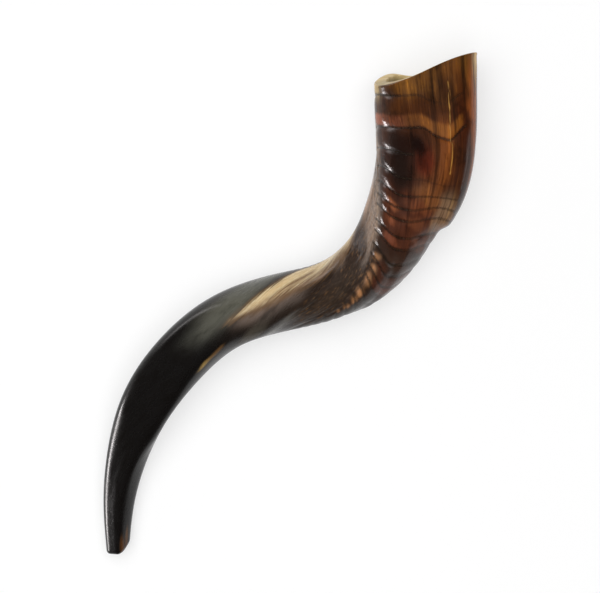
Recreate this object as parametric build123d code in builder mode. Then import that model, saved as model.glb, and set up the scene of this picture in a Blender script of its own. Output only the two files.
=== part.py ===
from build123d import *
import os
from math import cos, exp, pi, radians, sin

# A shofar: one ram's horn, polished, with a drilled bore and a carved cup at its tip.
# It lies on its side as on a table. +Y runs from the tip towards the bell, +Z is up.
# All sizes are in millimetres.

# The horn's stations, from the tip to beyond the bell's mouth. Each one gives the point
# of the horn's axis, the section's width across the lying plane, its depth at right
# angles to that, and the angle in degrees that the horn's twist has reached.
STATIONS = [
    (-108.0, -155.8, 7.2, 14.0, 13.2, 106),
    (-107.5, -128.0, 9.0, 18.8, 17.5, 110),
    (-102.0, -96.0, 12.2, 25.2, 22.0, 128),
    (-89.0, -63.0, 16.7, 32.2, 26.4, 166),
    (-69.0, -35.5, 20.6, 35.2, 29.5, 188),
    (-40.0, -11.5, 22.1, 35.4, 34.0, 177),
    (-5.0, 0.5, 21.9, 36.6, 39.2, 112),
    (30.0, 10.5, 21.6, 37.4, 42.5, 62),
    (55.0, 30.0, 22.9, 42.4, 45.0, 14),
    (72.0, 57.5, 25.2, 50.8, 46.8, -24),
    (83.0, 90.0, 26.6, 60.6, 47.0, -46),
    (84.0, 120.0, 25.0, 63.6, 46.2, -57),
    (84.0, 142.0, 23.4, 63.8, 46.0, -62),
    (84.0, 164.0, 20.8, 63.8, 46.0, -65),
]

# The three keels that run along the horn and turn with its twist: place in degrees
# round the section, height as a share of the radius, and sharpness.
KEELS = [(0, 0.17, 8.0), (76, 0.13, 5.0), (200, 0.16, 6.0)]
OUTLINE_POINTS = 24

# The natural hollow starts where the drilled bore ends and widens to the bell.
HOLLOW_START = 2
HOLLOW_START_DIAMETER = 7.0
WALL_AT_START = 10.4
WALL_AT_BELL = 4.3

# The drilled bore and the cup carved into the tip
BORE_DIAMETER = 4.5
BORE_LENGTH = 66.0
CUP_DIAMETER = 8.6
CUP_WAIST_DIAMETER = 7.2
CUP_DEPTH = 6.0
CLEARANCE = 4.0

# The bell's mouth is cut in a wave: the upper side as seen from +Z, then the lower side
UPPER_RIM = [(48, 124), (56, 127.5), (64, 132), (75, 138), (92, 147), (105, 152.3), (120, 156.5)]
LOWER_RIM = [(48, 148), (56, 148.5), (64, 147.5), (75, 144), (92, 145.5), (105, 150), (120, 156.5)]
UPPER_RIM_Z = 56.0
LOWER_RIM_Z = -8.0
RIM_CUTTER_TOP = 180.0

# The named stretches meet at the start of the hollow and at these stations
SHOULDER_START = 4
WAIST_START = 5
BELL_START = 8

axis = Spline(*[station[:3] for station in STATIONS])


def station_plane(number):
    """The plane square to the horn's axis at a station, with its x direction level."""
    point = Vector(*STATIONS[number][:3])
    along = axis.tangent_at(point)
    return Plane(origin=point, x_dir=Vector(0, 0, 1).cross(along), z_dir=along)


def outline(width, depth, twist):
    """Points round a keeled section that is width by depth overall."""
    points = []
    for step in range(OUTLINE_POINTS):
        angle = 2 * pi * step / OUTLINE_POINTS
        radius = 1.0
        for place, height, sharpness in KEELS:
            radius += height * exp(sharpness * (cos(angle - radians(place)) - 1))
        turned = angle + radians(twist)
        points.append((radius * cos(turned), radius * sin(turned)))
    low_x = min(x for x, y in points)
    high_x = max(x for x, y in points)
    low_y = min(y for x, y in points)
    high_y = max(y for x, y in points)
    x_scale = width / (high_x - low_x)
    y_scale = depth / (high_y - low_y)
    x_middle = (high_x + low_x) / 2
    y_middle = (high_y + low_y) / 2
    return [((x - x_middle) * x_scale, (y - y_middle) * y_scale) for x, y in points]


def wall_at(number):
    """Thickness of the horn's wall at a station."""
    share = (number - HOLLOW_START) / (len(STATIONS) - 1 - HOLLOW_START)
    return WALL_AT_START + share * (WALL_AT_BELL - WALL_AT_START)


with BuildPart() as blank:
    for number in range(len(STATIONS)):
        width, depth, twist = STATIONS[number][3:]
        with BuildSketch(station_plane(number)):
            with BuildLine():
                Spline(*outline(width, depth, twist), periodic=True)
            make_face()
    loft()

with BuildPart() as hollow:
    for number in range(HOLLOW_START, len(STATIONS)):
        width, depth, twist = STATIONS[number][3:]
        inner_width = max(width - 2 * wall_at(number), HOLLOW_START_DIAMETER)
        inner_depth = max(depth - 2 * wall_at(number), HOLLOW_START_DIAMETER)
        with BuildSketch(station_plane(number)):
            with BuildLine():
                Spline(*outline(inner_width, inner_depth, twist), periodic=True)
            make_face()
    loft()

# The air way starts outside the tip, so that it opens the tip's face cleanly
tip = Vector(*STATIONS[0][:3])
bore_end = Vector(*STATIONS[HOLLOW_START][:3])
drill_plane = Plane(origin=tip, z_dir=(bore_end - tip).normalized())
profile_plane = Plane(origin=tip, x_dir=drill_plane.x_dir, z_dir=-drill_plane.y_dir)
drill_axis = Axis(tip, drill_plane.z_dir)

with BuildPart() as air_way:
    with BuildSketch(profile_plane):
        with BuildLine():
            cup_side = ThreePointArc(
                (CUP_DIAMETER / 2, 0),
                (CUP_WAIST_DIAMETER / 2, CUP_DEPTH * 0.55),
                (BORE_DIAMETER / 2, CUP_DEPTH),
            )
            Polyline(
                cup_side @ 1,
                (BORE_DIAMETER / 2, BORE_LENGTH),
                (0, BORE_LENGTH),
                (0, -CLEARANCE),
                (CUP_DIAMETER / 2, -CLEARANCE),
                cup_side @ 0,
            )
        make_face()
    revolve(axis=drill_axis)

with BuildPart() as rim_cutter:
    for height, rim_points in ((LOWER_RIM_Z, LOWER_RIM), (UPPER_RIM_Z, UPPER_RIM)):
        with BuildSketch(Plane.XY.offset(height)):
            with BuildLine():
                rim = Spline(*rim_points)
                Polyline(
                    rim @ 1,
                    ((rim @ 1).X, RIM_CUTTER_TOP),
                    ((rim @ 0).X, RIM_CUTTER_TOP),
                    rim @ 0,
                )
            make_face()
    loft(ruled=True)

mouthpiece_end = station_plane(HOLLOW_START)
shoulder_start = station_plane(SHOULDER_START)
waist_start = station_plane(WAIST_START)
bell_start = station_plane(BELL_START)

# The five stretches of the horn
with BuildPart() as mouthpiece:
    add(blank.part)
    split(bisect_by=mouthpiece_end, keep=Keep.BOTTOM)
    add(air_way.part, mode=Mode.SUBTRACT)
mouthpiece.part.label = "mouthpiece"

with BuildPart() as blade:
    add(blank.part)
    split(bisect_by=mouthpiece_end, keep=Keep.TOP)
    split(bisect_by=shoulder_start, keep=Keep.BOTTOM)
    add(hollow.part, mode=Mode.SUBTRACT)
blade.part.label = "blade"

with BuildPart() as shoulder:
    add(blank.part)
    split(bisect_by=shoulder_start, keep=Keep.TOP)
    split(bisect_by=waist_start, keep=Keep.BOTTOM)
    add(hollow.part, mode=Mode.SUBTRACT)
shoulder.part.label = "shoulder"

with BuildPart() as waist:
    add(blank.part)
    split(bisect_by=waist_start, keep=Keep.TOP)
    split(bisect_by=bell_start, keep=Keep.BOTTOM)
    add(hollow.part, mode=Mode.SUBTRACT)
waist.part.label = "waist"

with BuildPart() as bell:
    add(blank.part)
    split(bisect_by=bell_start, keep=Keep.TOP)
    add(hollow.part, mode=Mode.SUBTRACT)
    add(rim_cutter.part, mode=Mode.SUBTRACT)
bell.part.label = "bell"

os.makedirs("parts", exist_ok=True)
export_step(mouthpiece.part, "parts/mouthpiece.step")
export_step(blade.part, "parts/blade.step")
export_step(shoulder.part, "parts/shoulder.step")
export_step(waist.part, "parts/waist.step")
export_step(bell.part, "parts/bell.step")
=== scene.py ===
from math import pi, radians

import bpy
import numpy as np
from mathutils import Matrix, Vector


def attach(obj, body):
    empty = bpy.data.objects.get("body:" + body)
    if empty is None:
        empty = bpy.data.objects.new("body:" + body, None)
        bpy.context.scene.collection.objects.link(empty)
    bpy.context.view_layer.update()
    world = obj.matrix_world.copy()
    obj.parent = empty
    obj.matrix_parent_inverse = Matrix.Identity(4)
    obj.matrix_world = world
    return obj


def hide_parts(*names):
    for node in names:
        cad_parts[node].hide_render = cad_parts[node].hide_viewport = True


# A shofar: one twisted, ridged ram's horn, lying on a pale floor. The whole horn is one
# closed mesh that stands for the CAD model's five stretches, and it is worked out from
# the same stations as they are. Sizes are in millimetres and become metres at the end.

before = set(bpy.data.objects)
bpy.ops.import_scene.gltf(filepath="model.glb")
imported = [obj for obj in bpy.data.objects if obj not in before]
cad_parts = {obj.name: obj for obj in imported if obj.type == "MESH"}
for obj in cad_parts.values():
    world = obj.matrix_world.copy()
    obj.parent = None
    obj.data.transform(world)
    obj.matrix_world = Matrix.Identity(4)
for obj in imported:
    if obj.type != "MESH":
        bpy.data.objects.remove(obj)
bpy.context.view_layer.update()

MM = 0.001

# ---------------------------------------------------------------- sizes of the horn

# Point of the axis, width, depth and twist in degrees, from the tip to beyond the bell
STATIONS = np.array([
    (-108.0, -155.8, 7.2, 14.0, 13.2, 106),
    (-107.5, -128.0, 9.0, 18.8, 17.5, 110),
    (-102.0, -96.0, 12.2, 25.2, 22.0, 128),
    (-89.0, -63.0, 16.7, 32.2, 26.4, 166),
    (-69.0, -35.5, 20.6, 35.2, 29.5, 188),
    (-40.0, -11.5, 22.1, 35.4, 34.0, 177),
    (-5.0, 0.5, 21.9, 36.6, 39.2, 112),
    (30.0, 10.5, 21.6, 37.4, 42.5, 62),
    (55.0, 30.0, 22.9, 42.4, 45.0, 14),
    (72.0, 57.5, 25.2, 50.8, 46.8, -24),
    (83.0, 90.0, 26.6, 60.6, 47.0, -46),
    (84.0, 120.0, 25.0, 63.6, 46.2, -57),
    (84.0, 142.0, 23.4, 63.8, 46.0, -62),
    (84.0, 164.0, 20.8, 63.8, 46.0, -65),
])

# Keels: place in degrees round the section, height as a share of the radius, sharpness
CREASE = (0, 0.17, 8.0)
RIDGED_KEEL = (76, 0.13, 5.0)
RIGHT_KEEL = (200, 0.18, 7.0)

# Degrees that two keels have turned at places along the blade, so that it is flat on top
CREASE_TURN = [(0, -4), (42, -16), (62, -13), (78, -8), (100, -16), (122, -13), (145, -7), (168, 0)]
RIGHT_KEEL_TURN = [(0, 78), (42, 70), (62, 56), (82, 38), (102, 18),
                   (125, -4), (145, -15), (165, -16), (186, -5), (202, 0)]

# The shoulder's section is squarer than an oval, so that its top is nearly flat
SQUARE_STRETCH = (112.0, 145.0)
SQUARE_FADE = 42.0
SQUARENESS = 1.6

# The hollow starts at this station, and its wall thins towards the bell
HOLLOW_START = 2
HOLLOW_START_DIAMETER = 7.0
WALL_AT_START = 10.4
WALL_AT_BELL = 4.3

# Near the rim the wall is thicker round one place on the left
THICK_WALL_PLACE = 58
THICK_WALL_SHARPNESS = 6
THICK_WALL_RISE = (360, 385)
THICK_WALL_EXTRA = 3.0

# The bore's rings, by their distance from its inner end, and the cup's rings as depth and
# radius, from the bore out to the cup's rounded edge
BORE_RADIUS = 2.25
BORE_RINGS = (-0.3, 12, 26, 40)
CUP = [(6.0, 2.25), (5.2, 2.75), (4.2, 3.2), (3.0, 3.6), (1.6, 3.95), (0.6, 4.2), (0.15, 4.45), (0, 4.7)]

# The bell's mouth is cut in a wave that runs between two curves, one above the other. Each
# column's place on it is found by halving the stretch that holds it.
UPPER_RIM = [(48, 124), (56, 127.5), (64, 132), (75, 138), (92, 147), (105, 152.3), (120, 156.5)]
LOWER_RIM = [(48, 148), (56, 148.5), (64, 147.5), (75, 144), (92, 145.5), (105, 150), (120, 156.5)]
UPPER_RIM_Z = 56.0
LOWER_RIM_Z = -8.0
RIM_CURVE_POINTS = 200
RIM_SEARCH_START = 330.0
RIM_SEARCH_STEPS = 16

# The cut face of the rim is rounded
LIP_ROUNDING = 1.0
LIP_SQUARENESS = 0.55
LIP_ROWS = 9

# The tip's end slopes back on its right side, and its edge is rounded
TIP_OVERHANG = 1.2
TIP_SLOPE_REACH = 6.4
TIP_SLOPE_DEPTH = 9.5
TIP_SLOPE_POWER = 1.7
TIP_SLOPE_LIMIT = 0.97
TIP_ROUNDINGS = (2.4, 4.0)
TIP_INSET = 1.4
TIP_ROWS = 7

# Places of the growth grooves along the axis, from the waist to the bell's mouth
GROOVES = np.array([207, 213, 219, 225, 231.5, 237.5, 243.5, 249.5, 256, 261.5, 268, 274.5,
                    282.5, 289, 298.5, 305, 313, 324, 340, 357, 377, 398])

# A ring is a round bead, or a flat step with a steep end where it is wide, and it wanders
BEAD_ROUNDNESS = 0.55
STEP_END = 2.1
STEP_STEEPNESS = 1.3
WIDE_RINGS = (10, 16)
RING_WOBBLE = 0.8
RING_DEPTH_CHANGE = 0.3

# Degrees round the section against millimetres that the growth rings lean in the bend and
# dip in the bell, where they draw a V
RING_LEAN = [(-60, 0.0), (-10, 1.0), (40, 3.0), (75, 2.5), (94, 0.0), (110, 0.5), (137, 4.5),
             (164, 9.5), (190, 11.5), (215, 10.0), (250, 5.0), (300, 0.0)]
RING_DIP = [(-60, 0.0), (20, 0.0), (83, 1.0), (105, -1.5), (129, -1.0), (140, -2.0), (148, -5.0), (155, -6.4),
            (163, -7.2), (169, -7.5), (176, -5.0), (183, -1.5), (200, 3.0), (240, 2.0), (300, 0.0)]

# Degrees that the crease and the fibres beside it turn towards the ridges along the horn
CREASE_DRIFT = [(225, 0), (255, 4), (275, 16), (296, 33), (320, 44), (350, 50)]

# Heights of the skin's relief
RIDGE_HEIGHT = 1.2
WRINKLE_HEIGHT = 1.1
LUMP_HEIGHT = 0.1
WORN_LUMP_HEIGHT = 0.35
NOTCH_DEPTH = 0.7
SWELLING_HEIGHT = 2.8
FULL_BEND_HEIGHT = 1.3

# Strength of the ridges, from 0 to 1: on their keel, across the bend, across the bell, in
# the bell's V groove and on the underside
KEEL_RIDGES = 0.95
BEND_RIDGES = 0.34
BELL_RIDGES = 0.16
V_GROOVE = 0.34
UNDER_RIDGES = 0.3

# Stretches along the horn where the rings change from leaning to dipping, where the skin is
# more and more worn, and where the dull fibrous skin shows
BEND_TO_BELL = (312, 345)
WORN_RISE = (150, 260)
FIBROUS_STRETCH = (222, 322)
FIBROUS_FADE = 24

# The relief fades out over these lengths at the tip and at the rim
RELIEF_TIP_FADE = 12
RELIEF_RIM_FADE = 3

# Grid of the mesh: columns round the horn, and rows along it that start level and are
# stretched near both ends to follow the bevelled tip and the wavy rim
COLUMNS = 168
TIP_STRETCH_END = 24.0
RIM_STRETCH_START = 325.0
LEVEL_ROWS = [(TIP_STRETCH_END, 205.0, 1.5), (205.0, RIM_STRETCH_START, 0.75)]
TIP_STRETCH_ROWS = 14
RIM_STRETCH_ROWS = 92
INNER_STEP = 3.4

# What the material reads: the grain's coordinates, with the inside's set apart from the
# outside's, values that stand for no groove, seam or stripe nearby, and how many of the
# lip's first rows keep the skin's colour
GRAIN_RADIUS = 22.0
INSIDE_GRAIN_SHIFT = 300.0
FAR = 30.0
OUTSIDE_STRIPE = -20.0
SKIN_COLOURED_LIP_ROWS = 2

AROUND = np.arange(COLUMNS) * 2 * pi / COLUMNS
AROUND_DEGREES = np.degrees(AROUND)


# ---------------------------------------------------------------- curves and soft steps


def natural_spline(knots, values):
    """A natural cubic spline through the values, to be asked for any places."""
    knots = np.asarray(knots, float)
    values = np.asarray(values, float)
    gaps = np.diff(knots)
    count = len(knots)
    matrix = np.eye(count)
    right = np.zeros_like(values)
    for i in range(1, count - 1):
        matrix[i, i - 1:i + 2] = gaps[i - 1], 2 * (gaps[i - 1] + gaps[i]), gaps[i]
        slope_after = (values[i + 1] - values[i]) / gaps[i]
        slope_before = (values[i] - values[i - 1]) / gaps[i - 1]
        right[i] = 6 * (slope_after - slope_before)
    bends = np.linalg.solve(matrix, right)

    def evaluate(places):
        places = np.asarray(places, float)
        i = np.clip(np.searchsorted(knots, places) - 1, 0, count - 2)
        gap = gaps[i]
        before = ((knots[i + 1] - places) / gap)[..., None]
        after = 1 - before
        straight = before * values[i] + after * values[i + 1]
        bend = (before**3 - before) * bends[i] + (after**3 - after) * bends[i + 1]
        return straight + bend * (gap**2)[..., None] / 6

    return evaluate


def spline_value(table, place):
    """Value at a place of a smooth curve through (place, value) pairs."""
    places, values = np.array(table, float).T
    return natural_spline(places, values[:, None])(place)[..., 0]


def line_value(table, place):
    """Value at a place of straight lines through (place, value) pairs."""
    places, values = zip(*table)
    return np.interp(place, places, values)


def chord_places(points):
    """Distance along a row of points to each of them."""
    steps = np.linalg.norm(np.diff(points, axis=0), axis=1)
    return np.concatenate([[0], np.cumsum(steps)])


def smooth(low, high, value):
    """0 below low, 1 above high, and a smooth step between them."""
    share = np.clip((value - low) / (high - low), 0, 1)
    return share * share * (3 - 2 * share)


def between(low, high, value, soft):
    """1 from low to high, and 0 further than soft outside them."""
    return smooth(low - soft, low, value) * (1 - smooth(high, high + soft, value))


def turn_from(place, around):
    """Degrees round the section from a place, between -180 and 180."""
    return (around - place + 180) % 360 - 180


def ridged_side(around):
    """Degrees round the section counted from -60 to 300, with the ridges in the middle."""
    return (around + 60) % 360 - 60


def lattice_noise(seed, across, along):
    """Smooth noise between -1 and 1 over (degrees round, millimetres along), whose cells
    are `across` to a turn and `along` millimetres long, and which meets itself round."""
    table = np.random.default_rng(seed).uniform(-1, 1, (across, 4096))

    def evaluate(around, place):
        u = np.mod(around, 360) / 360 * across
        v = place / along + 100
        column = np.floor(u).astype(int) % across
        row = np.floor(v).astype(int)
        fu = smooth(0, 1, u - np.floor(u))
        fv = smooth(0, 1, v - np.floor(v))
        low = table[column, row] * (1 - fu) + table[(column + 1) % across, row] * fu
        high = table[column, row + 1] * (1 - fu) + table[(column + 1) % across, row + 1] * fu
        return low * (1 - fv) + high * fv

    return evaluate


# ---------------------------------------------------------------- sections of the horn

PLACES = chord_places(STATIONS[:, :3])
axis_point = natural_spline(PLACES, STATIONS[:, :3])
axis_sizes = natural_spline(PLACES, STATIONS[:, 3:])
wall_shares = (np.arange(len(PLACES)) - HOLLOW_START) / (len(PLACES) - 1 - HOLLOW_START)
WALLS = WALL_AT_START + np.clip(wall_shares, 0, 1) * (WALL_AT_BELL - WALL_AT_START)


def keel(around, place, height, sharpness):
    return height * np.exp(sharpness * (np.cos(around - np.radians(place)) - 1))


def keel_turn(table, place):
    """Degrees that a keel has turned at a place, which stay the same past the table's ends."""
    return spline_value(table, np.clip(place, table[0][0], table[-1][0]))


def outline_radius(around, place):
    """Radius of the keeled outline, before it is fitted to its width and depth."""
    crease = CREASE[0] + keel_turn(CREASE_TURN, place)
    right_keel = RIGHT_KEEL[0] + keel_turn(RIGHT_KEEL_TURN, place)
    return (1 + keel(around, crease, *CREASE[1:]) + keel(around, *RIDGED_KEEL)
            + keel(around, right_keel, *RIGHT_KEEL[1:]))


def turned_outline(around, place, twist):
    """Sideways and upward parts of the turned outline, squared a little at the shoulder."""
    radius = outline_radius(around, place)
    angle = around + np.radians(twist)
    parts = [radius * np.cos(angle), radius * np.sin(angle)]
    power = 2 + SQUARENESS * between(*SQUARE_STRETCH, place, SQUARE_FADE)
    swell = radius / (abs(parts[0]) ** power + abs(parts[1]) ** power) ** (1 / power)
    return [part * swell for part in parts]


# How far the turned outline reaches, sideways and upwards, at places along the horn
REACH_PLACES = np.arange(-4.0, 412.0, 2.0)
FINE_TURN = np.radians(np.arange(0, 360, 0.5))
REACHES = turned_outline(FINE_TURN[None, :], REACH_PLACES[:, None], axis_sizes(REACH_PLACES)[:, 2:])


def section(place, around, sizes, slimming=0.0, least=0.0):
    """Points of the horn's section for arrays of places and of angles in radians."""
    width, depth, twist = np.moveaxis(sizes, -1, 0)
    along = axis_point(place + 0.5) - axis_point(place - 0.5)
    along /= np.linalg.norm(along, axis=-1, keepdims=True)
    side = np.cross([0.0, 0.0, 1.0], along)
    side /= np.linalg.norm(side, axis=-1, keepdims=True)
    up = np.cross(along, side)
    points = axis_point(place)
    parts = turned_outline(around, place, twist)
    for part, size, reach, direction in zip(parts, (width, depth), REACHES, (side, up)):
        low = np.interp(place, REACH_PLACES, reach.min(axis=1))
        high = np.interp(place, REACH_PLACES, reach.max(axis=1))
        fitted = np.maximum(size - 2 * slimming, least)
        offset = (part - (low + high) / 2) * fitted / (high - low)
        points = points + offset[..., None] * direction
    return points


def sink(points, place, amount):
    """Moves the skin's points towards the axis by an amount in millimetres."""
    inward = axis_point(place) - points
    inward /= np.linalg.norm(inward, axis=-1, keepdims=True)
    return points + inward * amount[..., None]


def outer_skin(place, around):
    return section(place, around, axis_sizes(place))


def inner_skin(place, around):
    """The hollow, whose wall is thicker on the left near the rim."""
    wall = np.interp(place, PLACES, WALLS)
    points = section(place, around, axis_sizes(place), wall, HOLLOW_START_DIAMETER)
    left = keel(around, THICK_WALL_PLACE, 1, THICK_WALL_SHARPNESS) * smooth(*THICK_WALL_RISE, place)
    return sink(points, place, THICK_WALL_EXTRA * left)


# ---------------------------------------------------------------- rim of the bell


def rim_curve(points):
    points = np.array(points, float)
    places = chord_places(points)
    return natural_spline(places, points)(np.linspace(0, 1, RIM_CURVE_POINTS) * places[-1])


upper_rim = rim_curve(UPPER_RIM)
lower_rim = rim_curve(LOWER_RIM)


def beyond_rim(points):
    """How far the points lie beyond the ruled, wavy rim, along Y."""
    heights = (points[:, 2] - LOWER_RIM_Z) / (UPPER_RIM_Z - LOWER_RIM_Z)
    distances = []
    for (x, y, _), height in zip(points, heights):
        edge = lower_rim * (1 - height) + upper_rim * height
        distances.append(y - np.interp(x, edge[:, 0], edge[:, 1]))
    return np.array(distances)


def rim_places(skin):
    """Place along the axis where each column of a skin meets the rim."""
    low = np.full(COLUMNS, RIM_SEARCH_START)
    high = np.full(COLUMNS, PLACES[-1])
    for _ in range(RIM_SEARCH_STEPS):
        middle = (low + high) / 2
        outside = beyond_rim(skin(middle, AROUND)) > 0
        high = np.where(outside, middle, high)
        low = np.where(outside, low, middle)
    return (low + high) / 2


OUTER_RIM = rim_places(outer_skin)
INNER_RIM = rim_places(inner_skin)


# ---------------------------------------------------------------- ridges and wrinkles

wobble = lattice_noise(11, 14, 16.0)
depth_noise = lattice_noise(12, 18, 11.0)
wrinkle_noise = [lattice_noise(13, 60, 26.0), lattice_noise(14, 110, 14.0)]
lump_noise = lattice_noise(15, 7, 38.0)


def ring_place(place, around):
    """The place along the axis of the growth ring that passes through a point, measured
    on the ridged side: the rings lean in the bend and dip to a V under the bell's top."""
    turned = ridged_side(around)
    lean = spline_value(RING_LEAN, turned)
    dip = spline_value(RING_DIP, turned)
    bell = smooth(*BEND_TO_BELL, place)
    upper = 1 - 0.45 * smooth(365, 385, place)
    return place - lean * (1 - bell) - dip * bell * upper


def ridge_strength(place, around):
    """How deep the ridges are, from 0 to 1."""
    turned = ridged_side(around)
    on_keel = smooth(52, 66, turned) * (1 - smooth(104, 128, turned))
    upper_fade = 1 - 0.35 * smooth(362, 372, place)
    bend_rise = 0.55 + 0.45 * smooth(262, 275, place)
    across_bend = smooth(58, 72, turned) * (1 - smooth(196, 214, turned)) * (1 - smooth(318, 338, place))
    across_bell = smooth(58, 72, turned) * (1 - smooth(184, 196, turned)) * smooth(325, 345, place)
    in_groove = np.maximum(between(348, 363, place, 6), 0.4 * between(373, 380, place, 3))
    under = smooth(212, 240, turned) * (1 - smooth(275, 300, turned)) * (1 - 0.6 * smooth(330, 350, place))
    strength = np.maximum(KEEL_RIDGES * on_keel * upper_fade * bend_rise, BEND_RIDGES * across_bend)
    strength = np.maximum(strength, (BELL_RIDGES + V_GROOVE * in_groove) * across_bell)
    strength = np.maximum(strength, UNDER_RIDGES * under)
    return strength * smooth(203, 238, place)


def ridge_relief(place, around):
    """Millimetres that the growth ridges lie below the smooth skin, and the distance
    in millimetres to the nearest groove."""
    ring = ring_place(place, around) + RING_WOBBLE * wobble(around, place)
    i = np.clip(np.searchsorted(GROOVES, ring) - 1, 0, len(GROOVES) - 2)
    width = GROOVES[i + 1] - GROOVES[i]
    share = np.clip((ring - GROOVES[i]) / width, 0, 1)
    nearest = np.minimum(share, 1 - share) * width
    bead = (4 * share * (1 - share)) ** BEAD_ROUNDNESS
    step = 1 - np.exp(-((nearest / STEP_END) ** STEP_STEEPNESS))
    wide = smooth(*WIDE_RINGS, width)
    crest = bead * (1 - wide) + step * wide
    strength = ridge_strength(place, around) * (1 + RING_DEPTH_CHANGE * depth_noise(around, place))
    nearest = np.where((ring < GROOVES[0]) | (ring > GROOVES[-1]), FAR, nearest)
    return RIDGE_HEIGHT * strength * (1 - crest), nearest


def crease_drift(place, around):
    """Degrees that the crease and the fibres beside it have turned towards the ridges."""
    return line_value(CREASE_DRIFT, place) * (1 - smooth(58, 82, ridged_side(around)))


def fibrous(place, around):
    """Where the dull, fibrous skin shows beside the ridges, from 0 to 1."""
    start = 14 + crease_drift(place, around) * 0.7
    return between(start, 60, ridged_side(around), 12) * between(*FIBROUS_STRETCH, place, FIBROUS_FADE)


def relief(place, around):
    """Millimetres that the horn's skin lies below the smooth CAD skin."""
    ridges, _ = ridge_relief(place, around)
    turned = ridged_side(around)
    fibre_around = around - crease_drift(place, around)
    wrinkles = sum(abs(noise(fibre_around, place)) for noise in wrinkle_noise) / 2
    lumps = 0.5 * (1 + lump_noise(around, place))
    worn = smooth(*WORN_RISE, place)
    # A notch and a swelling by the right keel, and a fuller outside of the bend
    notch = between(182, 232, turned, 16) * smooth(262, 296, place) * (1 - smooth(302, 308, place))
    swelling = between(190, 228, turned, 18) * smooth(303, 310, place) * (1 - smooth(316, 352, place))
    full_bend = between(132, 178, turned, 22) * between(252, 284, place, 18)
    return (ridges + WRINKLE_HEIGHT * wrinkles * fibrous(place, around)
            + (LUMP_HEIGHT + WORN_LUMP_HEIGHT * worn) * lumps
            + NOTCH_DEPTH * notch - SWELLING_HEIGHT * swelling - FULL_BEND_HEIGHT * full_bend)


# ---------------------------------------------------------------- mesh of the horn


def level(place):
    return np.full(COLUMNS, float(place))


def tip_share():
    """0 on the tip's left side and 1 on its right."""
    return (1 - np.cos(AROUND + radians(STATIONS[0, 5]))) / 2


def tip_slope(rightwards):
    """How far the tip's end has sloped back, at a distance to the right of its middle."""
    share = np.clip(rightwards / TIP_SLOPE_REACH, 0, TIP_SLOPE_LIMIT)
    fallen = 1 - (1 - share**TIP_SLOPE_POWER) ** (1 / TIP_SLOPE_POWER)
    return TIP_SLOPE_DEPTH * fallen - TIP_OVERHANG


def tip_edge():
    """Place along the axis where the flat of the tip's end meets its rounded edge."""
    rim = outer_skin(level(0), AROUND) - STATIONS[0, :3]
    return tip_slope(rim[:, 0] * (1 - TIP_INSET / np.linalg.norm(rim, axis=1)))


def tip_rounding():
    """Place along the axis where the tip's rounded edge meets the outer skin."""
    return TIP_ROUNDINGS[0] + (TIP_ROUNDINGS[1] - TIP_ROUNDINGS[0]) * tip_share() ** 2 + tip_edge()


def outer_places():
    """One array of places for each row of the outer skin."""
    start = tip_rounding()
    for share in np.linspace(0, 1, TIP_STRETCH_ROWS, endpoint=False):
        yield start + (TIP_STRETCH_END - start) * share
    for low, high, step in LEVEL_ROWS:
        for place in np.linspace(low, high, round((high - low) / step), endpoint=False):
            yield level(place)
    end = OUTER_RIM - LIP_ROUNDING
    for share in np.linspace(0, 1, RIM_STRETCH_ROWS):
        yield RIM_STRETCH_START + (end - RIM_STRETCH_START) * share


def outer_rows():
    """The outer skin, with its relief, from the tip's rounded edge to the rim's."""
    for place in outer_places():
        fade = smooth(0, RELIEF_TIP_FADE, place) * smooth(0, RELIEF_RIM_FADE, OUTER_RIM - place)
        yield sink(outer_skin(place, AROUND), place, relief(place, AROUND_DEGREES) * fade), place


def inner_rows():
    """The hollow, from the rim inwards."""
    rim = INNER_RIM - LIP_ROUNDING
    start = PLACES[HOLLOW_START]
    for share in np.linspace(0, 1, round((rim.mean() - start) / INNER_STEP)):
        place = rim + (start - rim) * share
        yield inner_skin(place, AROUND), place


def bore_rows():
    """The straight bore and the cup, from the hollow out to the flat of the tip."""
    tip = STATIONS[0, :3]
    along = STATIONS[HOLLOW_START, :3] - tip
    length = np.linalg.norm(along)
    along = along / length
    side = np.cross([0.0, 0.0, 1.0], along)
    side /= np.linalg.norm(side)
    up = np.cross(along, side)
    for depth, radius in [(length - back, BORE_RADIUS) for back in BORE_RINGS] + CUP:
        turned = AROUND + np.radians(axis_sizes(np.array(depth))[2])
        ring = (np.cos(turned)[:, None] * side + np.sin(turned)[:, None] * up) * radius
        sloped = tip_slope(ring[:, 0]) * max(0, 1 - depth / CUP[0][0])
        yield tip + along * depth + sloped[:, None] * along + ring, level(max(depth, 0))


def tip_rows():
    """The rounded edge of the tip, from its end face back to the outer skin."""
    edge = tip_edge()
    rounding = tip_rounding() - edge
    for share in np.linspace(1, 0, TIP_ROWS, endpoint=False):
        angle = share * pi / 2
        place = edge + rounding * (1 - np.sin(angle))
        yield sink(outer_skin(place, AROUND), place, level(TIP_INSET * (1 - np.cos(angle)))), place


def lip_rows(outer_edge, inner_edge):
    """The rounded cut face of the rim."""
    middle = (outer_edge + inner_edge) / 2
    half = (outer_edge - inner_edge) / 2
    top = (outer_skin(OUTER_RIM, AROUND) + inner_skin(INNER_RIM, AROUND)) / 2
    for share in np.linspace(0, 1, LIP_ROWS + 2)[1:-1]:
        angle = share * pi
        across = np.sign(np.cos(angle)) * abs(np.cos(angle)) ** LIP_SQUARENESS
        yield middle + half * across + (top - middle) * np.sin(angle) ** LIP_SQUARENESS, OUTER_RIM


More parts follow.
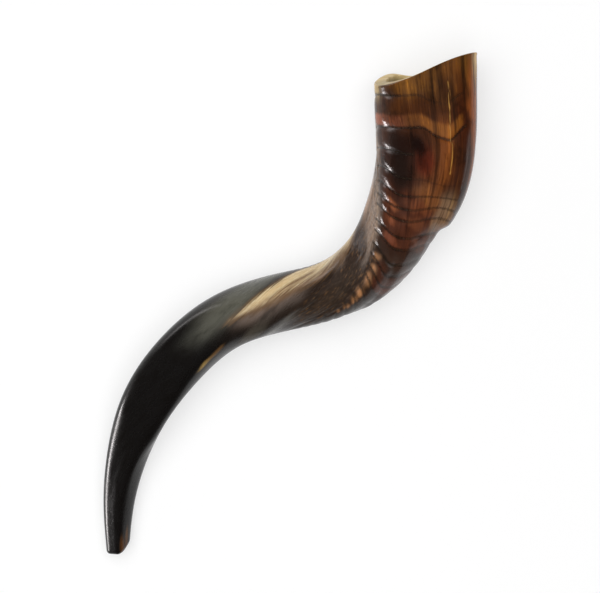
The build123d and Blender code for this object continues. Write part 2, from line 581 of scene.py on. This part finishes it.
outer = list(outer_rows())
inner = list(inner_rows())
stretches = [("outer", outer), ("lip", list(lip_rows(outer[-1][0], inner[0][0]))), ("inner", inner),
             ("bore", list(bore_rows())), ("tip", list(tip_rows()))]
row_points = np.array([points for _, rows in stretches for points, _ in rows])
row_places = np.array([place for _, rows in stretches for _, place in rows])
row_kinds = np.array([kind for kind, rows in stretches for _ in rows])


def horn_mesh():
    """One closed mesh whose rows and columns both meet themselves."""
    row = np.arange(len(row_points))[:, None]
    column = np.arange(COLUMNS)[None, :]
    next_row = (row + 1) % len(row_points)
    next_column = (column + 1) % COLUMNS
    corners = ((row, column), (row, next_column), (next_row, next_column), (next_row, column))
    faces = np.stack([down * COLUMNS + across for down, across in corners], axis=-1).reshape(-1, 4)
    mesh = bpy.data.meshes.new("horn")
    mesh.from_pydata((row_points.reshape(-1, 3) * MM).tolist(), [], faces.tolist())
    mesh.polygons.foreach_set("use_smooth", np.ones(len(faces), bool))
    return mesh


# ---------------------------------------------------------------- colours of the horn

# Screen colours, from 0 to 255
BLACK = (16, 14, 13)
SOOT = (27, 17, 13)
RUST = (112, 56, 34)
ORANGE = (138, 82, 30)
SALMON = (176, 100, 70)
TAN = (176, 124, 82)
PINKISH = (122, 104, 92)
CREAM = (214, 184, 128)
STRAW = (206, 164, 104)
HOLLOW_COLOUR = (78, 66, 36)
BORE_COLOUR = (60, 48, 38)

# Ground colour at places along the horn
GROUND = [(0, BLACK), (150, BLACK), (195, (36, 29, 24)), (225, (40, 29, 22)), (270, (46, 33, 26)),
          (300, (50, 31, 23)), (335, (54, 28, 18)), (365, (66, 36, 18)), (395, (94, 60, 24))]

# Soft patches, some of them painted sheen, highlights and edge light: place, degrees round, half length, half
# width in degrees, colour, strength
PATCHES = [
    (4, 12, 7, 14, (96, 60, 28), 0.6),          # amber corner of the tip
    (9, 36, 9, 7, (120, 80, 44), 0.5),
    (142, 308, 7, 4.5, (158, 128, 70), 0.85),   # short amber feather by the shoulder
    (152, 308, 8, 4, (112, 80, 44), 0.65),
    (184, 250, 36, 34, (92, 91, 80), 0.85),     # painted grey-green sheen on the back of the waist
    (180, 346, 14, 14, (88, 82, 72), 0.5),      # haze round the start of the cream stripe
    (194, 22, 16, 12, (92, 88, 80), 0.6),
    (232, 36, 26, 22, (50, 38, 28), 0.8),       # fibrous skin of the waist
    (244, 350, 20, 8, (112, 88, 72), 0.6),      # pinkish edge of the crease, with a painted highlight along it
    (262, 6, 16, 8, (126, 106, 92), 0.7),
    (272, 50, 12, 5, (146, 130, 118), 0.5),     # painted highlight on the pale fibres in the valley beside it
    (298, 48, 24, 20, (176, 150, 130), 0.75),
    (312, 18, 26, 16, (176, 132, 96), 0.85),    # pale inside of the bend, lightened by painted edge light
    (345, 52, 28, 16, (150, 118, 92), 0.75),
    (334, 101, 24, 16, SOOT, 0.95),             # dark stretch under the bell's left side
    (346, 116, 8, 16, (30, 15, 10), 0.9),
    (326, 214, 18, 14, (34, 20, 14), 0.85),     # dark swelling beyond the right keel
    (312, 176, 12, 14, (146, 116, 88), 0.65),   # painted grey sheen in the valley before it
    (318, 146, 6, 22, (128, 78, 44), 0.75),     # red fields of the bend
    (310, 140, 3.5, 28, (112, 62, 38), 0.7),
    (301, 134, 3.5, 26, (108, 62, 40), 0.65),
    (292, 150, 3, 22, (100, 64, 48), 0.6),
    (306, 92, 3, 9, (150, 86, 52), 0.8),
    (297, 90, 3, 10, (138, 76, 48), 0.8),
    (286, 96, 3, 16, (122, 66, 44), 0.7),
    (275, 110, 4, 30, (60, 44, 35), 0.6),
    (328, 152, 7, 24, (112, 64, 34), 0.65),
    (336, 138, 9, 13, (92, 32, 14), 0.7),       # deep red heart of the bell
    (344, 129, 6, 9, (20, 10, 8), 0.9),         # dark tongue under the V groove
    (345, 163, 18, 14, (120, 66, 28), 0.8),
    (376, 96, 9, 15, (58, 34, 24), 0.85),       # brown field above the orange band
    (370, 130, 8, 26, (62, 30, 8), 0.8),
    (389, 122, 13, 24, (112, 70, 24), 0.85),    # golden upper bell
    (390, 150, 12, 14, (96, 58, 18), 0.7),
    (390, 176, 14, 12, (108, 62, 20), 0.7),
    (380, 168, 8, 7, (44, 22, 12), 0.7),        # dark knots on the right
    (396, 166, 4, 5, (58, 34, 16), 0.6),
    (368, 186, 24, 9, (62, 26, 12), 0.7),       # dark red strip by the right side
    (362, 204, 36, 10, (150, 78, 30), 0.8),     # lit right side
    (352, 236, 40, 22, (100, 56, 26), 0.7),     # underside
    (370, 290, 34, 34, (118, 74, 32), 0.7),
    (330, 320, 26, 24, (96, 54, 30), 0.6),
]

# Tan ovals where the small ridges of the waist end: place, size and strength
OVALS = [(271.5, 1.1, 0.8), (265, 1.0, 0.9), (259, 1.15, 0.95), (252.5, 1.2, 0.95),
         (246.5, 1.1, 0.85), (240.5, 0.9, 0.7), (234.5, 0.7, 0.5)]
OVALS_AROUND = 70
OVAL_HALF_LENGTH = 2.1
OVAL_HALF_WIDTH = 7.0

# Cream stripe of the waist: degrees round to its middle, its lower edge and the brown
# streak in it, and half its width in millimetres, at places along the horn
STRIPE_MIDDLE = [(160, 275), (170, 280), (186, 294), (202, 312), (219, 317),
                 (245, 330), (265, 350), (300, 360), (330, 366)]
STRIPE_HALF = [(158, -5), (170, 0.4), (186, 3.6), (202, 6.4), (220, 9.0),
               (245, 8.8), (262, 7.2), (275, 3.0), (300, -5.0)]
STRIPE_LOWER_EDGE = [(165, 282), (180, 304), (202, 332), (219, 344), (245, 356), (265, 372)]
STRIPE_STREAK = [(180, 294), (200, 316), (230, 326), (250, 338)]
WAIST_MM_PER_DEGREE = 0.33

# The fine pale seam that runs up the bell through the V: degrees round at places along it
SEAM = [(300, 160), (318, 166), (335, 172), (355, 169), (378, 173), (396, 172)]
SEAM_START = 333
SEAM_END = 384
BELL_MM_PER_DEGREE = 0.48

# How far the patches' edges wander along the horn, in millimetres, and round it, in degrees
WANDER_ALONG = 2.2
WANDER_AROUND = 4.0

# Strengths of the redder rings, of the haze under the stripe and of the pale rim's edges
RUST_STRENGTH = 0.38
HAZE_STRENGTH = 0.62
LEFT_EDGE_STRENGTH = 0.95
RIGHT_EDGE_STRENGTH = 0.85

# The haze's middle and half width, in degrees round from the stripe's lower edge
HAZE_MIDDLE = 3
HAZE_HALF_WIDTH = 13

# The bell's coloured band: the growth rings it lies between, the degrees round that it
# spans and how soft its ends are
BAND_RINGS = (359.5, 363.5)
BAND_SOFTNESS = 3.2
BAND_AROUND = (70, 182)
BAND_END_SOFTNESS = 6

ring_noise = lattice_noise(21, 9, 5.0)
warp_noise = [lattice_noise(22, 26, 9.0), lattice_noise(23, 26, 9.0)]


def linear(red, green, blue):
    """A screen colour as linear light."""
    share = np.array([red, green, blue]) / 255
    return np.where(share <= 0.04045, share / 12.92, ((share + 0.055) / 1.055) ** 2.4)


def opaque(red, green, blue):
    """A screen colour as a shader's linear light and alpha."""
    return (*linear(red, green, blue), 1.0)


def lay(colour, weight, shade):
    """The colour with a shade laid over it by a weight from 0 to 1."""
    return colour + weight[..., None] * (linear(*shade) - colour)


def ground_colour(place):
    stops = [stop for stop, _ in GROUND]
    shades = np.array([linear(*shade) for _, shade in GROUND])
    return np.stack([np.interp(place, stops, shades[:, k]) for k in range(3)], axis=-1)


def redness(place, around):
    """How much redder each growth ring of the bend is, from 0 to 1."""
    number = np.searchsorted(GROOVES, ring_place(place, around))
    shift = np.random.default_rng(5).uniform(-1, 1, len(GROOVES) + 1)[number]
    bend = between(262, 312, place, 14) * between(84, 190, around, 14)
    return bend * (0.5 + 0.5 * np.clip(shift + 0.9 * ring_noise(around, place), -1, 1))


def undertone_and_sheen(place, around):
    """Linear colour of the horn under its streaks and lines, with painted sheen, highlights and edge light in
    some patches.
    """
    along = place + WANDER_ALONG * warp_noise[0](around, place)
    turned = around + WANDER_AROUND * warp_noise[1](around, place)
    colour = lay(ground_colour(place), RUST_STRENGTH * redness(place, around), RUST)
    for centre, middle, half_length, half_width, shade, strength in PATCHES:
        distance = ((along - centre) / half_length) ** 2 + (turn_from(middle, turned) / half_width) ** 2
        colour = lay(colour, strength * np.exp(-(distance**2)), shade)
    for centre, size, strength in OVALS:
        across = turn_from(OVALS_AROUND, turned) / OVAL_HALF_WIDTH
        distance = ((along - centre) / OVAL_HALF_LENGTH) ** 2 + across**2
        colour = lay(colour, strength * np.exp(-((distance / size**2) ** 1.6)), TAN)

    # A pinkish haze under the cream stripe
    below = turn_from(line_value(STRIPE_LOWER_EDGE, along), turned) - HAZE_MIDDLE
    haze = np.exp(-((below / HAZE_HALF_WIDTH) ** 2)) * between(184, 208, place, 20)
    colour = lay(colour, HAZE_STRENGTH * haze, PINKISH)

    # A band above the V groove, brightest at its salmon left end and orange in the V
    band = between(*BAND_RINGS, ring_place(place, around), BAND_SOFTNESS)
    band = band * between(*BAND_AROUND, around, BAND_END_SOFTNESS)
    band = band * (0.7 - 0.45 * between(92, 130, around, 10))
    in_v = smooth(104, 124, around)
    colour = lay(colour, band * (1 - in_v), SALMON)
    colour = lay(colour, band * in_v, ORANGE)

    # Pale horn shows through at the edges of the rim
    to_rim = OUTER_RIM - place
    edge = 1 - smooth(0.5, 12 + 3 * warp_noise[0](around, place), to_rim)
    colour = lay(colour, LEFT_EDGE_STRENGTH * edge * between(40, 76, around, 14), CREAM)
    edge = 1 - smooth(3, 26, to_rim)
    return lay(colour, RIGHT_EDGE_STRENGTH * edge * between(209, 236, around, 7), STRAW)


def stripe_inside(place, around):
    """Millimetres inside the edge of the cream stripe of the waist."""
    across = abs(turn_from(line_value(STRIPE_MIDDLE, place), around)) * WAIST_MM_PER_DEGREE
    return line_value(STRIPE_HALF, place) - across


def stripe_shade(place, around):
    """Where the cream stripe is shaded brown, from 0 to 1."""
    from_streak = turn_from(line_value(STRIPE_STREAK, place), around)
    streak = between(198, 226, place, 10) * np.exp(-((from_streak / 6) ** 2))
    from_edge = turn_from(line_value(STRIPE_LOWER_EDGE, place), around)
    lower = smooth(-26, -6, from_edge) * (1 - smooth(252, 278, place))
    start = 1 - smooth(178, 200, place)
    return np.maximum(np.maximum(0.85 * streak, 0.9 * lower), 0.45 * start)


def seam_distance(place, around):
    """Millimetres from the fine pale seam of the bell."""
    across = abs(turn_from(line_value(SEAM, place), around)) * BELL_MM_PER_DEGREE
    return np.hypot(across, np.maximum(0, np.maximum(SEAM_START - place, place - SEAM_END)))


def add_attribute(mesh, name, kind, values):
    """Stores a value, a vector or a colour for each vertex of the mesh."""
    field = {"FLOAT": "value", "FLOAT_VECTOR": "vector", "FLOAT_COLOR": "color"}[kind]
    mesh.attributes.new(name, kind, "POINT").data.foreach_set(field, values.astype(np.float32).ravel())


def add_attributes(mesh):
    """Everything about the horn's colour that the material reads from the mesh."""
    around = np.broadcast_to(AROUND_DEGREES, row_places.shape)
    is_outer = (row_kinds == "outer")[:, None]
    is_open = np.isin(row_kinds, ("lip", "inner"))[:, None]
    first_lip = int(np.argmax(row_kinds == "lip"))
    is_open[first_lip:first_lip + SKIN_COLOURED_LIP_ROWS] = False
    _, groove = ridge_relief(row_places, around)

    tone = np.where(is_open[..., None], linear(*HOLLOW_COLOUR), undertone_and_sheen(row_places, around))
    tone = np.where((row_kinds == "bore")[:, None, None], linear(*BORE_COLOUR), tone)
    add_attribute(mesh, "undertone_and_sheen", "FLOAT_COLOR", np.insert(tone, 3, 1.0, axis=-1))
    add_attribute(mesh, "grain", "FLOAT_VECTOR", np.stack([
        GRAIN_RADIUS * np.cos(np.radians(around)),
        GRAIN_RADIUS * np.sin(np.radians(around)),
        row_places + np.where(is_open, INSIDE_GRAIN_SHIFT, 0.0),
    ], axis=-1))

    dark_stretch = between(88, 112, around, 10) * between(318, 354, row_places, 8)
    bell_share = smooth(262, 335, row_places) * (1 - 0.8 * dark_stretch)
    pale_depth = 1 - 0.85 * smooth(0.5, 6, INNER_RIM - row_places)
    shade = stripe_shade(row_places, around)
    for name, where, inside, outside in (
        ("stripe", is_outer, stripe_inside(row_places, around), OUTSIDE_STRIPE),
        ("stripe_shade", True, shade, 0.0),
        ("groove", is_outer, groove, FAR),
        ("ridged", is_outer, ridge_strength(row_places, around), 0.0),
        ("fibre", is_outer, fibrous(row_places, around), 0.0),
        ("seam", is_outer, seam_distance(row_places, around), FAR),
        ("streaks", is_outer, bell_share, 0.25),
        ("cut", is_open, pale_depth, 0.0),
    ):
        add_attribute(mesh, name, "FLOAT", np.where(where, inside, outside))


# ---------------------------------------------------------------- material

STREAK = opaque(22, 12, 8)
FINE_STREAK = opaque(22, 12, 9)
MOTTLE = opaque(14, 11, 9)
PALE_FIBRE = opaque(120, 98, 80)
DARK_FIBRE = opaque(44, 33, 27)
FLECK = opaque(112, 80, 48)
GROWTH_LINE = opaque(18, 12, 8)
PALE_GROWTH_LINE = opaque(124, 98, 60)
SEAM_GOLD = opaque(200, 146, 66)
STRIPE_HALO = opaque(120, 88, 52)
STRIPE_CREAM = opaque(230, 212, 172)
STRIPE_SAND = opaque(204, 174, 124)
STRIPE_TAN = opaque(178, 140, 90)
STRIPE_BROWN = opaque(100, 72, 50)
CUT_CREAM = opaque(238, 214, 160)
CUT_SAND = opaque(208, 178, 120)


class Nodes:
    """Short calls for the shader nodes that a material or the world is made of."""

    def __init__(self, owner, shader="Principled BSDF"):
        owner.use_nodes = True
        self.tree = owner.node_tree
        self.shader = self.tree.nodes[shader]

    def add(self, kind, **settings):
        node = self.tree.nodes.new(kind)
        for name, value in settings.items():
            setattr(node, name, value)
        return node

    def feed(self, socket, value):
        if isinstance(value, bpy.types.NodeSocket):
            self.tree.links.new(value, socket)
        else:
            socket.default_value = value

    def attribute(self, name, output="Fac"):
        return self.add("ShaderNodeAttribute", attribute_name=name).outputs[output]

    def math(self, operation, *values):
        node = self.add("ShaderNodeMath", operation=operation)
        for socket, value in zip(node.inputs, values):
            self.feed(socket, value)
        return node.outputs[0]

    def times(self, first, second):
        return self.math("MULTIPLY", first, second)

    def plus(self, first, second):
        return self.math("ADD", first, second)

    def step(self, value, low, high, start=0.0, end=1.0):
        """Goes smoothly from start to end as the value goes from low to high."""
        node = self.add("ShaderNodeMapRange", interpolation_type="SMOOTHSTEP")
        for name, setting in (("Value", value), ("From Min", low), ("From Max", high),
                              ("To Min", start), ("To Max", end)):
            self.feed(node.inputs[name], setting)
        return node.outputs["Result"]

    def stretched(self, vector, scale):
        node = self.add("ShaderNodeVectorMath", operation="MULTIPLY")
        self.feed(node.inputs[0], vector)
        node.inputs[1].default_value = scale
        return node.outputs[0]

    def noise(self, vector, scale, detail=2.0, roughness=0.5):
        node = self.add("ShaderNodeTexNoise")
        self.feed(node.inputs["Vector"], vector)
        node.inputs["Scale"].default_value = scale
        node.inputs["Detail"].default_value = detail
        node.inputs["Roughness"].default_value = roughness
        return node.outputs["Fac"]

    def mix(self, share, first, second):
        """Goes from the first colour to the second as the share goes from 0 to 1."""
        node = self.add("ShaderNodeMix", data_type="RGBA")
        self.feed(node.inputs["Factor"], share)
        sockets = [socket for socket in node.inputs if socket.type == "RGBA"]
        for socket, colour in zip(sockets, (first, second)):
            self.feed(socket, colour)
        return next(socket for socket in node.outputs if socket.type == "RGBA")


class HornNodes(Nodes):
    """Polished horn: soft fields of colour, streaks along the grain, fine growth lines
    across it and a cream stripe, with fibres and pits in the bump."""

    def __init__(self, material):
        super().__init__(material)
        self.grain = self.attribute("grain", "Vector")
        self.ridged = self.attribute("ridged")
        self.fibre = self.attribute("fibre")
        self.cut = self.attribute("cut")
        self.streaks = self.attribute("streaks")
        self.broad = self.along_grain(0.035, 0.32, 2.0, 0.55)
        self.fine = self.along_grain(0.06, 1.1, 3.0, 0.6)
        self.hair = self.along_grain(0.12, 3.2)
        self.mottle = self.along_grain(0.5, 0.16, 3.0, 0.6)
        self.speck = self.noise(self.grain, 2.2)
        groove = self.plus(self.attribute("groove"), self.step(self.speck, 0.3, 0.7, -0.4, 0.4))
        self.growth_line = self.times(self.step(groove, 1.3, 0.2), self.step(self.ridged, 0.04, 0.5))
        pale = self.times(self.step(groove, 0.35, 0.05), self.step(self.ridged, 0.1, 0.35))
        self.pale_growth_line = self.times(pale, self.step(self.speck, 0.42, 0.55))

    def along_grain(self, length_share, scale, *settings):
        """Noise drawn out along the horn."""
        return self.noise(self.stretched(self.grain, (1.0, 1.0, length_share)), scale, *settings)

    def streaked(self, colour):
        """Dark and golden streaks, then dark mottling."""
        dark = self.times(self.step(self.broad, 0.47, 0.32), self.streaks)
        colour = self.mix(self.times(dark, 0.6), colour, STREAK)
        gold = self.times(self.step(self.broad, 0.56, 0.68), self.streaks)
        colour = self.mix(gold, colour, self.stretched(colour, (1.5, 1.5, 1.2)))
        dark = self.times(self.step(self.fine, 0.5, 0.3), self.streaks)
        colour = self.mix(self.times(dark, 0.55), colour, FINE_STREAK)
        gold = self.times(self.step(self.fine, 0.56, 0.74), self.streaks)
        colour = self.mix(gold, colour, self.stretched(colour, (1.7, 1.7, 1.3)))
        return self.mix(self.step(self.mottle, 0.5, 0.28, 0.0, 0.45), colour, MOTTLE)

    def fibrous(self, colour):
        """Dull pale and dark fibres with amber flecks."""
        fleck = self.along_grain(0.3, 0.8, 2.0, 0.6)
        for pattern, strength, shade in (
            (self.step(self.hair, 0.52, 0.72), 0.3, PALE_FIBRE),
            (self.step(self.hair, 0.54, 0.36), 0.6, DARK_FIBRE),
            (self.step(fleck, 0.56, 0.68), 0.5, FLECK),
        ):
            colour = self.mix(self.times(self.times(pattern, self.fibre), strength), colour, shade)
        return colour

    def lined(self, colour):
        """A dark growth line in each groove with a broken pale one in it, and the seam."""
        colour = self.mix(self.times(self.growth_line, 0.8), colour, GROWTH_LINE)
        colour = self.mix(self.times(self.pale_growth_line, 0.6), colour, PALE_GROWTH_LINE)
        seam = self.plus(self.attribute("seam"), self.step(self.fine, 0.3, 0.7, -0.3, 0.5))
        return self.mix(self.step(seam, 0.6, 0.15, 0.0, 0.6), colour, SEAM_GOLD)

    def striped(self, colour):
        """The cream stripe, feathered into fingers by the grain."""
        inside = self.plus(self.attribute("stripe"), self.step(self.fine, 0.25, 0.75, -1.6, 1.6))
        colour = self.mix(self.times(self.step(inside, -3.5, 1.0), 0.5), colour, STRIPE_HALO)
        cream = self.mix(self.step(self.hair, 0.35, 0.7), STRIPE_CREAM, STRIPE_SAND)
        cream = self.mix(self.step(self.broad, 0.4, 0.6, 0.0, 0.4), cream, STRIPE_TAN)
        shade = self.times(self.attribute("stripe_shade"), self.step(self.fine, 0.3, 0.6, 0.5, 1.1))
        cream = self.mix(shade, cream, STRIPE_BROWN)
        return self.mix(self.step(inside, -0.6, 2.2), colour, cream)

    def cut_open(self, colour):
        """Pale, dull horn where the rim is cut, and a little way down inside the bell."""
        pale = self.mix(self.step(self.mottle, 0.3, 0.7), CUT_CREAM, CUT_SAND)
        return self.mix(self.cut, colour, pale)

    def roughness(self):
        """Polished, and duller on the blade, on the fibres, in the grooves and on the cut."""
        total = self.step(self.mottle, 0.25, 0.75, 0.13, 0.23)
        for dulling in (
            self.step(self.streaks, 0.0, 0.25, 0.08, 0.0),
            self.times(self.fibre, 0.08),
            self.times(self.growth_line, 0.08),
            self.times(self.cut, 0.35),
        ):
            total = self.plus(total, dulling)
        return total

    def bump(self):
        """Fibres along the horn, fine lines across it and small pits, least on the blade."""
        across = self.noise(self.stretched(self.grain, (0.12, 0.12, 1.0)), 1.5)
        rings = self.times(self.times(across, self.ridged), 0.5)
        fibres = self.times(self.hair, self.step(self.fibre, 0.0, 1.0, 0.12, 1.0))
        pits = self.times(self.step(self.speck, 0.3, 0.42), 0.15)
        height = self.times(self.plus(self.plus(rings, fibres), pits),
                            self.step(self.streaks, 0.0, 0.25, 0.35, 1.0))
        node = self.add("ShaderNodeBump")
        node.inputs["Strength"].default_value = 0.35
        node.inputs["Distance"].default_value = 0.4 * MM
        self.feed(node.inputs["Height"], height)
        return node.outputs["Normal"]


def horn_material():
    material = bpy.data.materials.new("polished_horn")
    nodes = HornNodes(material)
    colour = nodes.attribute("undertone_and_sheen", "Color")
    for layer in (nodes.streaked, nodes.fibrous, nodes.lined, nodes.striped, nodes.cut_open):
        colour = layer(colour)
    nodes.feed(nodes.shader.inputs["Base Color"], colour)
    nodes.feed(nodes.shader.inputs["Roughness"], nodes.roughness())
    nodes.feed(nodes.shader.inputs["Normal"], nodes.bump())
    nodes.shader.inputs["IOR"].default_value = 1.4
    return material


def add_object(name, data):
    made = bpy.data.objects.new(name, data)
    bpy.context.scene.collection.objects.link(made)
    return made


mesh = horn_mesh()
add_attributes(mesh)
mesh.materials.append(horn_material())
horn = add_object("horn", mesh)
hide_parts("mouthpiece", "blade", "shoulder", "waist", "bell")
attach(horn, "root")


# ---------------------------------------------------------------- floor, light and camera

# Sizes are in metres here. The floor glows, more so between two distances from the horn.
FLOOR_REACH = 12.0
FLOOR_GREYS = ((0.38, 0.38, 0.38, 1.0), (0.4, 0.4, 0.4, 1.0))
FLOOR_GLOW = (0.58, 0.9)
FLOOR_GLOW_RISE = (0.7, 3.0)

# Lights: place, aim, size, power, colour, and the rays that they stay out of
LIGHTS = {
    "overhead": ((-0.2, 0.1, 2.2), (0, 0, 0), (3.2, 3.2), 86.0, (1.0, 1.0, 1.0), "visible_glossy"),
    "bell_box": ((-2.95, -0.52, 0.34), (0, 0, 0.02), (1.1, 0.5), 72.0, (1.0, 0.95, 0.95), "visible_diffuse"),
    "waist_box": ((-1.0, 1.1, 0.45), (0, 0, 0.02), (0.8, 0.4), 4.5, (1.0, 0.96, 0.96), "visible_diffuse"),
    "right_box": ((2.2, -0.3, 0.4), (0, 0, 0.02), (0.9, 0.5), 2.5, (1.0, 1.0, 1.0), "visible_diffuse"),
}

# The walls' glow on the left and on the right, how far up a wall it fades, what is left of
# it above that, and the walls' grey
WALL_GLOWS = (0.42, 0.1)
WALL_SIDES = (-0.8, 0.4)
WALL_FADE = (0.15, 0.6)
CEILING_SHARE = 0.06
WALL_GREY = (0.92, 0.92, 0.92, 1.0)

CAMERA_PLACE = (0.0062, 0.0040, 1.5)
CAMERA_LENS = 142.7
CAMERA_SENSOR = 36.0
CAMERA_REACH = 50.0


def floor_material():
    """A matt, pale floor that glows, and glows more far from the horn."""
    material = bpy.data.materials.new("pale_floor")
    nodes = Nodes(material)
    position = nodes.add("ShaderNodeTexCoord").outputs["Object"]
    nodes.feed(nodes.shader.inputs["Base Color"], nodes.mix(nodes.noise(position, 3.0), *FLOOR_GREYS))
    distance = nodes.add("ShaderNodeVectorMath", operation="LENGTH")
    nodes.feed(distance.inputs[0], position)
    glow = nodes.step(distance.outputs["Value"], *FLOOR_GLOW_RISE, *FLOOR_GLOW)
    nodes.feed(nodes.shader.inputs["Emission Strength"], glow)
    nodes.shader.inputs["Emission Color"].default_value = (1.0, 1.0, 1.0, 1.0)
    nodes.shader.inputs["Roughness"].default_value = 1.0
    nodes.shader.inputs["Specular IOR Level"].default_value = 0.0
    return material


def make_floor():
    corners = [(-1, -1), (1, -1), (1, 1), (-1, 1)]
    mesh = bpy.data.meshes.new("floor")
    mesh.from_pydata([(x * FLOOR_REACH, y * FLOOR_REACH, 0.0) for x, y in corners], [], [(0, 1, 2, 3)])
    mesh.materials.append(floor_material())
    return add_object("floor", mesh)


def area_light(name, place, aim, size, power, colour, unseen_by):
    data = bpy.data.lights.new(name, "AREA")
    data.shape = "RECTANGLE"
    data.size, data.size_y = size
    data.energy = power
    data.color = colour
    light = add_object(name, data)
    light.location = place
    light.rotation_euler = (Vector(aim) - Vector(place)).to_track_quat("-Z", "Y").to_euler()
    setattr(light, unseen_by, False)


def studio_world():
    """Pale walls round the table, brighter on the left, and a dark ceiling."""
    world = bpy.data.worlds.new("studio")
    nodes = Nodes(world, "Background")
    parts = nodes.add("ShaderNodeSeparateXYZ")
    nodes.feed(parts.inputs[0], nodes.add("ShaderNodeTexCoord").outputs["Generated"])
    side = nodes.step(parts.outputs["X"], *WALL_SIDES, *WALL_GLOWS)
    wall = nodes.times(nodes.step(parts.outputs["Z"], *WALL_FADE, 1.0, CEILING_SHARE), side)
    seen = nodes.add("ShaderNodeLightPath").outputs["Is Camera Ray"]
    nodes.feed(nodes.shader.inputs["Strength"], nodes.math("MAXIMUM", wall, seen))
    nodes.shader.inputs["Color"].default_value = WALL_GREY
    return world


def overhead_camera():
    """A camera that looks straight down."""
    data = bpy.data.cameras.new("camera")
    data.sensor_width = CAMERA_SENSOR
    data.lens = CAMERA_LENS
    data.clip_end = CAMERA_REACH
    camera = add_object("camera", data)
    camera.location = CAMERA_PLACE
    return camera


make_floor()
for name, settings in LIGHTS.items():
    area_light(name, *settings)
bpy.context.scene.world = studio_world()
bpy.context.scene.view_settings.view_transform = "Standard"
bpy.context.scene.camera = overhead_camera()
